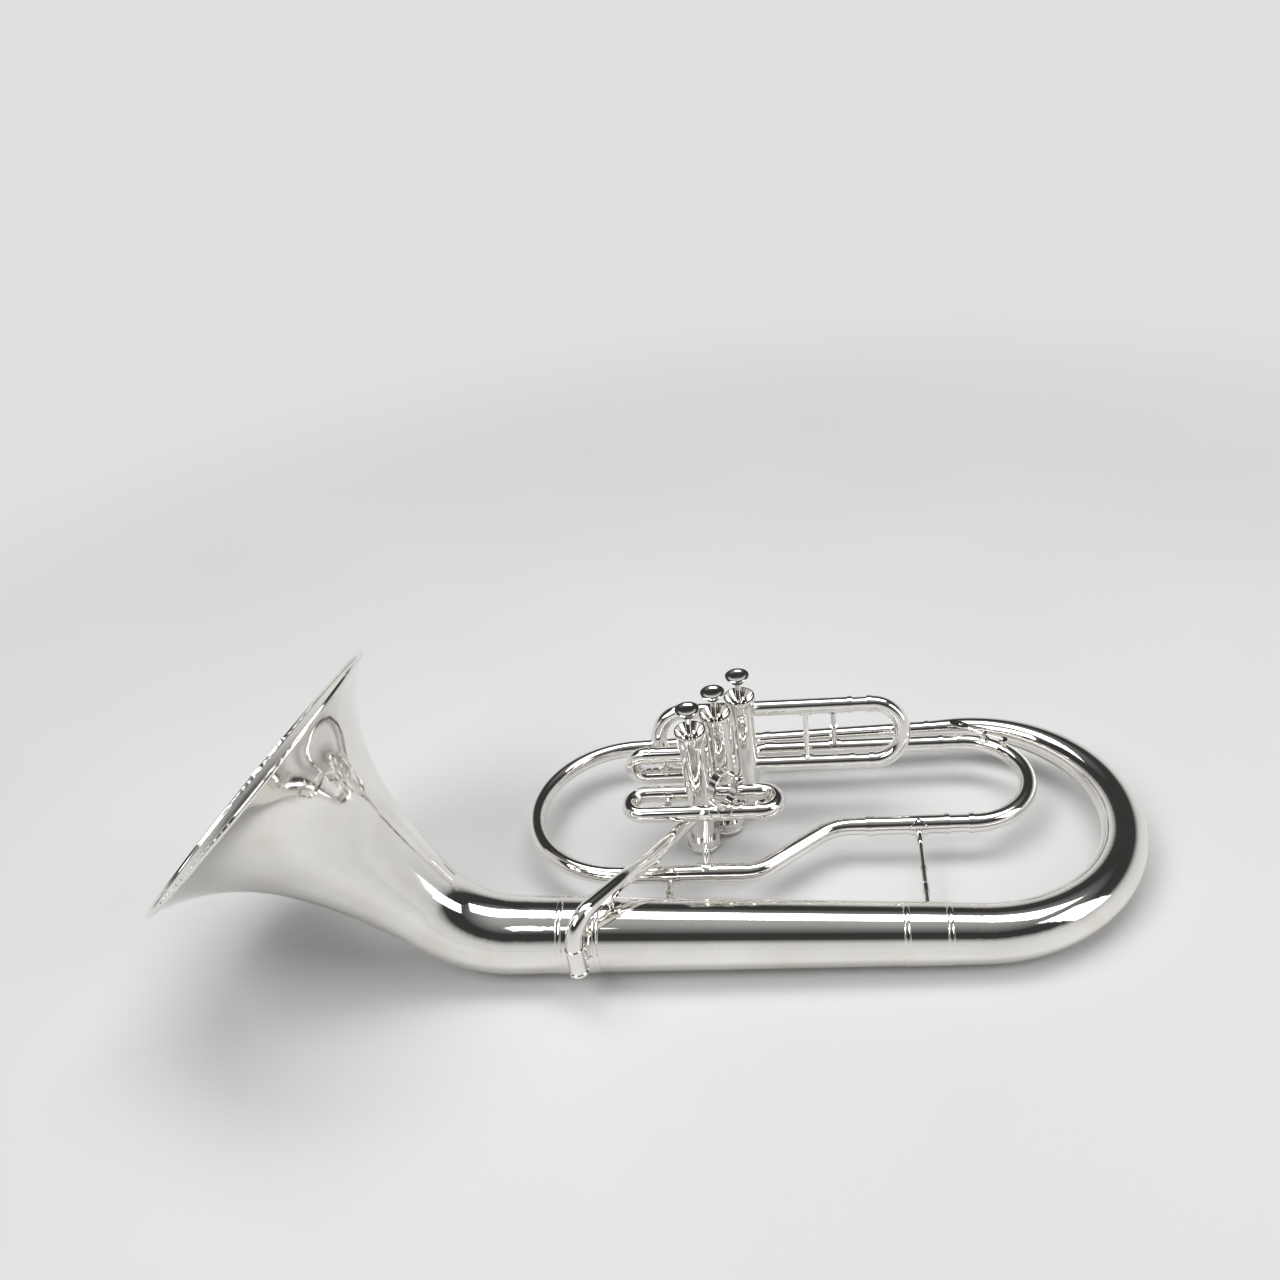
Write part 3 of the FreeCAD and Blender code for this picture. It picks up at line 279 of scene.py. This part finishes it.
def add_knurl(name, where, low, high, low_radius, high_radius):
    """A straight-knurled band round a cap, in millimetres above the point."""
    sides = 2 * KNURL_TEETH

    def toothed(radius):
        return [(radius - KNURL_DEPTH * (step % 2)) * MM for step in range(sides)]

    def plain(radius):
        return [(radius - 2 * KNURL_DEPTH) * MM] * sides

    rings = [(low * MM, plain(low_radius)),
             ((low + KNURL_CHAMFER) * MM, toothed(low_radius)),
             ((high - KNURL_CHAMFER) * MM, toothed(high_radius)),
             (high * MM, plain(high_radius)),
             ((low + high) / 2 * MM, plain(low_radius - KNURL_DEPTH))]
    return show_piece(name, ring_mesh(name, rings, where, UP), "horn", "silver", smooth=False)


def foot_of(node):
    """The middle of a node's lower face."""
    low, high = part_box(node)
    return Vector(((low.x + high.x) / 2, (low.y + high.y) / 2, low.z))


def long_axis(node):
    """A node's centre, its longest direction and how far it reaches each way along it."""
    points = np.array([vertex.co for vertex in frame["nodes"][node].data.vertices], float)
    low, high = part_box(node)
    centre = (low + high) / 2
    spread = np.cov((points - points.mean(0)).T)
    axis = Vector(np.linalg.eigh(spread)[1][:, -1]).normalized()
    reach = (points - np.array(centre)) @ np.array(axis)
    return centre, axis, float(reach.min()), float(reach.max())


def add_wire(name, points, radius, body, slot):
    """A round wire through the points, as a mesh."""
    data = bpy.data.curves.new(name, "CURVE")
    data.dimensions = "3D"
    data.bevel_depth = radius
    data.bevel_resolution = 3
    data.use_fill_caps = True
    line = data.splines.new("POLY")
    line.points.add(len(points) - 1)
    for point, place in zip(line.points, points):
        point.co = (*place, 1)
    bent = bpy.data.objects.new(name + "_line", data)
    bpy.context.scene.collection.objects.link(bent)
    bpy.context.view_layer.update()
    mesh = bpy.data.meshes.new_from_object(bent)
    bpy.data.objects.remove(bent)
    mesh.name = name
    mesh.materials.clear()
    return show_piece(name, mesh, body, slot)


# The top caps' knurl widens with the cap; sizes are in millimetres above the cap's foot
TOP_KNURL = {"low": 9.4, "high": 14.2, "low_radius": 12.85, "high_radius": 13.35}
BOTTOM_KNURL = {"low": 9.0, "high": 13.4, "low_radius": 14.5, "high_radius": 14.5}
BOTTOM_CAP_BEAD = [(13.9, 3.4), (14.5, 3.5), (14.8, 4.1), (14.8, 4.7), (14.5, 5.3), (13.9, 5.4)]


def dress_caps(valve):
    """Knurled bands on both caps of a valve, and a bead round the foot of the bottom one."""
    add_knurl(valve + "_top_cap_knurl", foot_of(valve + "_top_cap"), **TOP_KNURL)
    bottom = foot_of(valve + "_bottom_cap")
    add_knurl(valve + "_bottom_cap_knurl", bottom, **BOTTOM_KNURL)
    add_turning(valve + "_bottom_cap_bead", BOTTOM_CAP_BEAD, bottom, UP, "horn", "silver")


for valve in VALVES:
    dress_caps(valve)


INSIDE_POST = 1.8


def add_post_turning(node, outline):
    """A turned sleeve on a brace, from (share of its length from its upper end, radius in millimetres)."""
    centre, axis, low, high = long_axis(node)
    if axis.z > 0:
        axis, low, high = -axis, -high, -low
    length = (high - low) / MM
    profile = [(radius, share * length) for share, radius in outline]
    profile += [(INSIDE_POST, outline[-1][0] * length), (INSIDE_POST, outline[0][0] * length)]
    name = f"{node}_turning_{round(100 * outline[0][0])}"
    add_turning(name, profile, centre + axis * low, axis, "horn", "silver", steps=48)


# The branch brace narrows to a bead and a thicker sleeve below; the long brace has a sleeve towards each end
BRANCH_BRACE_SLEEVE = [(0.22, 2.75), (0.36, 2.55), (0.50, 2.3), (0.585, 2.28), (0.60, 2.75), (0.62, 2.95),
                       (0.64, 2.75), (0.655, 2.5), (0.68, 2.75), (0.80, 2.9)]
LONG_BRACE_UPPER_SLEEVE = [(0.115, 2.85), (0.125, 3.0), (0.22, 2.85), (0.235, 2.65), (0.24, 2.3)]
LONG_BRACE_LOWER_SLEEVE = [(0.70, 2.3), (0.705, 2.65), (0.72, 2.85), (0.80, 2.95)]
add_post_turning("branch_brace", BRANCH_BRACE_SLEEVE)
add_post_turning("long_brace", LONG_BRACE_UPPER_SLEEVE)
add_post_turning("long_brace", LONG_BRACE_LOWER_SLEEVE)


END_SLICE = 0.3 * MM


def cone_ends(node):
    """The centre and radius of each end of a long cone."""
    points = np.array([vertex.co for vertex in frame["nodes"][node].data.vertices], float)
    centre, axis, low, high = long_axis(node)
    side, other = frame_along(axis)
    along = (points - np.array(centre)) @ np.array(axis)
    ends = []
    for level in (low, high):
        ring = points[abs(along - level) < END_SLICE]
        spans = [ring @ np.array(way) for way in (side, other)]
        middle = side * float(spans[0].max() + spans[0].min()) / 2
        middle += other * float(spans[1].max() + spans[1].min()) / 2
        middle += axis * float((ring @ np.array(axis)).mean())
        ends.append((middle, float(spans[0].max() - spans[0].min()) / 2))
    return ends


FERRULE_RING = 4.8
FERRULE_LIFT = 0.3
FERRULE_BEAD = 0.68
FERRULE_INSIDE = 0.08
# One end ring of a ferrule, as (distance along it, height above the tube), with a bead at each edge
RING_OUTLINE = [(0, 0.3), (0.3, 0.6), (0.7, FERRULE_BEAD), (1.2, 0.42), (2.4, 0.38),
                (FERRULE_RING - 1.2, 0.42), (FERRULE_RING - 0.7, FERRULE_BEAD), (FERRULE_RING - 0.3, 0.6)]


def add_ferrule(name, start, axis, radius, taper, first, last):
    """A sleeve with a double-beaded ring at each end, in millimetres from the start of the stem's cone."""
    outline = [(first + height, lift) for height, lift in RING_OUTLINE]
    outline += [(first + FERRULE_RING, FERRULE_LIFT), (last - FERRULE_RING, FERRULE_LIFT)]
    outline += [(last - height, lift) for height, lift in reversed(RING_OUTLINE)]
    outline += [(last, FERRULE_INSIDE), (first, FERRULE_INSIDE)]
    profile = [(radius + taper * height + lift, height) for height, lift in outline]
    return add_turning(name, profile, start, axis, "horn", "silver", steps=144)


# Where the stem's two ferrules start and end, in millimetres from the stem's ends towards the bell
BOW_FERRULE = (-15.5, 21.5)
BELL_FERRULE = (-29, 5)


def add_stem_ferrules():
    """The two sleeves over the joints at the ends of the bell stem."""
    ends = sorted(cone_ends("bell_stem"), key=lambda one: -one[0].x)
    (start, start_radius), (end, end_radius) = ends
    towards_bell = (end - start).normalized()
    length = (end - start).length / MM
    taper = (end_radius - start_radius) / MM / length
    cone = (start, towards_bell, start_radius / MM, taper)
    bow_side = add_ferrule("stem_bow_ferrule", *cone, *BOW_FERRULE)
    bell_side = add_ferrule("stem_bell_ferrule", *cone, length + BELL_FERRULE[0], length + BELL_FERRULE[1])
    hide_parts("stem_ferrules")
    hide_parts("stem_ferrules")


add_stem_ferrules()


KEY_WIRE = 0.3 * MM
KEY_COIL_RADIUS = 1.75 * MM
KEY_COIL_TURNS = 2.25


def add_water_key_spring():
    """A coil of wire round the water key's pin, with a leg at each end."""
    pin_centre, pin_axis, _, _ = long_axis("water_key_pin")
    low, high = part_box("water_key_spring")
    middle = (low + high) / 2
    points = np.array([vertex.co for vertex in frame["nodes"]["water_key_spring"].data.vertices], float)
    across = (points - np.array(middle)) @ np.array(pin_axis)
    half = float(across.max()) - KEY_WIRE
    out = Vector((pin_axis.y, -pin_axis.x, 0)).normalized()
    cork_low, cork_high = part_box("water_key_cork")
    if out.dot((cork_low + cork_high) / 2 - pin_centre) > 0:
        out = -out
    per_turn = 18
    count = int(KEY_COIL_TURNS * per_turn)
    coil = []
    for step in range(count + 1):
        turn = math.pi * 1.5 + 2 * math.pi * step / per_turn
        along = -half + 2 * half * step / count
        outward = out * math.cos(turn) + UP * math.sin(turn)
        coil.append(middle + pin_axis * along + outward * KEY_COIL_RADIUS)
    # The legs leave the coil on opposite sides, both nearly level and a little downwards
    inward_leg = [coil[0] - out * 3.4 * MM - UP * 0.1 * MM]
    outward_leg = [coil[-1] + UP * 0.2 * MM + out * 0.8 * MM, coil[-1] + out * 4.6 * MM - UP * 0.6 * MM]
    points = inward_leg + coil + outward_leg
    spring = add_wire("water_key_coil", points, KEY_WIRE, "tuning_slide", "spring_steel")
    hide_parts("water_key_spring")


add_water_key_spring()


VALVE_WIRE = 0.55 * MM
VALVE_COIL_TURNS = 7


def add_valve_spring(valve):
    """A coil of round wire under a piston, close-wound at its ends."""
    node = valve + "_valve_spring"
    low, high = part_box(node)
    foot = Vector(((low.x + high.x) / 2, (low.y + high.y) / 2, low.z + VALVE_WIRE))
    reach = (high.x - low.x) / 2 - VALVE_WIRE
    rise = high.z - low.z - 2 * VALVE_WIRE
    end_pitch = 2.2 * VALVE_WIRE
    turn_marks = [0, 1, VALVE_COIL_TURNS - 1, VALVE_COIL_TURNS]
    levels = [0, end_pitch, rise - end_pitch, rise]
    per_turn = 28
    coil = []
    for step in range(VALVE_COIL_TURNS * per_turn + 1):
        turn = step / per_turn
        angle = 2 * math.pi * turn
        level = float(np.interp(turn, turn_marks, levels))
        coil.append(foot + Vector((reach * math.cos(angle), reach * math.sin(angle), level)))
    spring = add_wire(valve + "_valve_coil", coil, VALVE_WIRE, "horn", SLOT_OF[node])
    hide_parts(node)
    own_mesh(spring)


for valve in VALVES:
    add_valve_spring(valve)


SCREW_RADIUS = 1.8 * MM
SCREW_HEIGHT = 0.9 * MM
SCREW_SLOT = 0.5 * MM
SCREW_DRAFT = 0.94
SCREW_STEP = 0.95


def add_screw_head(name, where, way, body):
    """A screw's head: a disc, and two half discs on it with the driver's slot between them."""
    side, other = frame_along(way)
    shape = bmesh.new()
    steps = 24

    def layer(outline, low, high):
        outward = [side * x + other * y for x, y in outline]
        lower = [shape.verts.new(where + place + way * low) for place in outward]
        upper = [shape.verts.new(where + place * SCREW_DRAFT + way * high) for place in outward]
        shape.faces.new(lower)
        shape.faces.new(upper)
        for index in range(len(outline)):
            after = (index + 1) % len(outline)
            shape.faces.new((lower[index], lower[after], upper[after], upper[index]))

    full = []
    for step in range(steps):
        turn = 2 * math.pi * step / steps
        full.append((SCREW_RADIUS * math.cos(turn), SCREW_RADIUS * math.sin(turn)))
    layer(full, 0, SCREW_HEIGHT * 0.5)
    first = math.asin(SCREW_SLOT / 2 / SCREW_RADIUS)
    inner = SCREW_STEP * SCREW_RADIUS
    for sign in (1, -1):
        half = []
        for step in range(steps // 2 + 1):
            turn = first + (math.pi - 2 * first) * step / (steps // 2)
            half.append((inner * math.cos(turn), sign * inner * math.sin(turn)))
        layer(half, SCREW_HEIGHT * 0.5, SCREW_HEIGHT)
    bmesh.ops.recalc_face_normals(shape, faces=shape.faces)
    mesh = bpy.data.meshes.new(name)
    shape.to_mesh(mesh)
    shape.free()
    show_piece(name, mesh, body, "piston_nickel", smooth=False)


pin_middle, pin_way, pin_low, pin_high = long_axis("water_key_pin")
add_screw_head("water_key_screw_near", pin_middle + pin_way * pin_low, -pin_way, "tuning_slide")
add_screw_head("water_key_screw_far", pin_middle + pin_way * pin_high, pin_way, "tuning_slide")


# ---------------------------------------------------------------- set

MIDDLE = (LOW + HIGH) / 2
FLOOR_Z = LOW.z
FLOOR_REACH = 40
FLOOR_TONE = 0.74
FLOOR_MOTTLE = 0.012
SHADOW_REACH = 0.55
EVEN_FROM = 1.5


def seen_directly(tree):
    """1 for the camera and for what polished or clear surfaces show, 0 for light bounced off the floor."""
    path = tree.nodes.new("ShaderNodeLightPath")
    camera_or_glossy = tree.nodes.new("ShaderNodeMath")
    camera_or_glossy.operation = "MAXIMUM"
    any_of = tree.nodes.new("ShaderNodeMath")
    any_of.operation = "MAXIMUM"
    tree.links.new(path.outputs["Is Camera Ray"], camera_or_glossy.inputs[0])
    tree.links.new(path.outputs["Is Glossy Ray"], camera_or_glossy.inputs[1])
    tree.links.new(camera_or_glossy.outputs["Value"], any_of.inputs[0])
    tree.links.new(path.outputs["Is Transmission Ray"], any_of.inputs[1])
    return any_of.outputs["Value"]


def add_floor():
    """A pale sheet that takes the shadow near the horn and goes over into an even tone far from it."""
    mesh = bpy.data.meshes.new("floor")
    signs = ((-1, -1), (1, -1), (1, 1), (-1, 1))
    corners = [(FLOOR_REACH * x, FLOOR_REACH * y, FLOOR_Z) for x, y in signs]
    mesh.from_pydata(corners, [], [(0, 1, 2, 3)])
    floor = bpy.data.objects.new("floor", mesh)
    bpy.context.scene.collection.objects.link(floor)
    material, tree, shader = new_material("floor_paper")
    shader.inputs["Roughness"].default_value = 0.9
    shader.inputs["Specular IOR Level"].default_value = 0.1
    low, high = FLOOR_TONE - FLOOR_MOTTLE, FLOOR_TONE + FLOOR_MOTTLE
    mottle = add_noise(tree, scale=3, detail=2)
    tint = add_ramp(tree, mottle, [(0.3, (low, low, low)), (0.7, (high, high, high))])
    tree.links.new(tint, shader.inputs["Base Color"])

    place = tree.nodes.new("ShaderNodeTexCoord")
    away = tree.nodes.new("ShaderNodeVectorMath")
    away.operation = "DISTANCE"
    away.inputs[1].default_value = (MIDDLE.x, MIDDLE.y, FLOOR_Z)
    tree.links.new(place.outputs["Object"], away.inputs[0])
    far = tree.nodes.new("ShaderNodeMapRange")
    far.interpolation_type = "SMOOTHSTEP"
    far.inputs["From Min"].default_value = SHADOW_REACH
    far.inputs["From Max"].default_value = EVEN_FROM
    tree.links.new(away.outputs["Value"], far.inputs["Value"])
    share = tree.nodes.new("ShaderNodeMath")
    share.operation = "MULTIPLY"
    tree.links.new(far.outputs["Result"], share.inputs[0])
    tree.links.new(seen_directly(tree), share.inputs[1])
    glow = tree.nodes.new("ShaderNodeEmission")
    glow.inputs["Color"].default_value = (FLOOR_TONE, FLOOR_TONE, FLOOR_TONE, 1)
    mix = tree.nodes.new("ShaderNodeMixShader")
    output = tree.nodes["Material Output"]
    tree.links.new(share.outputs["Value"], mix.inputs["Fac"])
    tree.links.new(shader.outputs["BSDF"], mix.inputs[1])
    tree.links.new(glow.outputs["Emission"], mix.inputs[2])
    tree.links.new(mix.outputs["Shader"], output.inputs["Surface"])
    mesh.materials.append(material)


def add_light(name, offset, width, height, power):
    """A soft box: an area lamp at an offset from the horn's middle, which it faces."""
    data = bpy.data.lights.new(name, "AREA")
    data.shape = "RECTANGLE"
    data.size = width
    data.size_y = height
    data.energy = power
    lamp = bpy.data.objects.new(name, data)
    lamp.location = MIDDLE + Vector(offset)
    lamp.rotation_euler = (-Vector(offset)).to_track_quat("-Z", "Y").to_euler()
    bpy.context.scene.collection.objects.link(lamp)


# The room's tone by the height of the direction, from level (0) to straight up (1)
ROOM_TONES = [(0.0, FLOOR_TONE), (0.22, 0.64), (0.36, 0.34), (0.46, 0.045),
              (0.72, 0.04), (0.88, 0.22), (1.0, 0.42)]


def add_world():
    """A pale room that meets the floor's tone at the horizon, with a dark zone above that edges the tubes."""
    world = bpy.data.worlds.new("studio")
    bpy.context.scene.world = world
    world.use_nodes = True
    tree = world.node_tree
    background = tree.nodes["Background"]
    place = tree.nodes.new("ShaderNodeTexCoord")
    split = tree.nodes.new("ShaderNodeSeparateXYZ")
    tree.links.new(place.outputs["Generated"], split.inputs["Vector"])
    room = add_ramp(tree, split.outputs["Z"], [(height, (tone, tone, tone)) for height, tone in ROOM_TONES])
    tree.links.new(room, background.inputs["Color"])
    background.inputs["Strength"].default_value = 1.0


CAMERA_PLACE = Vector((207.6, -652.9, 723.5)) * MM
CAMERA_YAW = math.radians(-10.5)
CAMERA_ELEVATION = math.radians(32.5)
CAMERA_ROLL = math.radians(-8.8)
CAMERA_LENS = 35.16


def add_camera():
    """The photograph's view: from the right of the bell, looking down and slightly rolled."""
    yaw, elevation, roll = CAMERA_YAW, CAMERA_ELEVATION, CAMERA_ROLL
    ahead = Vector((math.sin(yaw) * math.cos(elevation), math.cos(yaw) * math.cos(elevation),
                    -math.sin(elevation)))
    level = Vector((math.cos(yaw), -math.sin(yaw), 0))
    upward = level.cross(ahead)
    right = level * math.cos(roll) + upward * math.sin(roll)
    above = upward * math.cos(roll) - level * math.sin(roll)
    data = bpy.data.cameras.new("camera")
    data.sensor_width = 36
    data.lens = CAMERA_LENS
    camera = bpy.data.objects.new("camera", data)
    turn = Matrix((right, above, -ahead)).transposed()
    camera.matrix_world = Matrix.Translation(CAMERA_PLACE) @ turn.to_4x4()
    bpy.context.scene.collection.objects.link(camera)
    bpy.context.scene.camera = camera


add_floor()
add_world()
add_light("key", (-1.0, -0.9, 1.7), width=1.3, height=1.0, power=17)
add_light("fill", (1.6, -0.5, 1.0), width=0.8, height=1.2, power=8)
add_light("top", (0.1, 0.45, 1.9), width=2.4, height=0.9, power=28)
add_camera()
bpy.context.scene.view_settings.view_transform = "Standard"
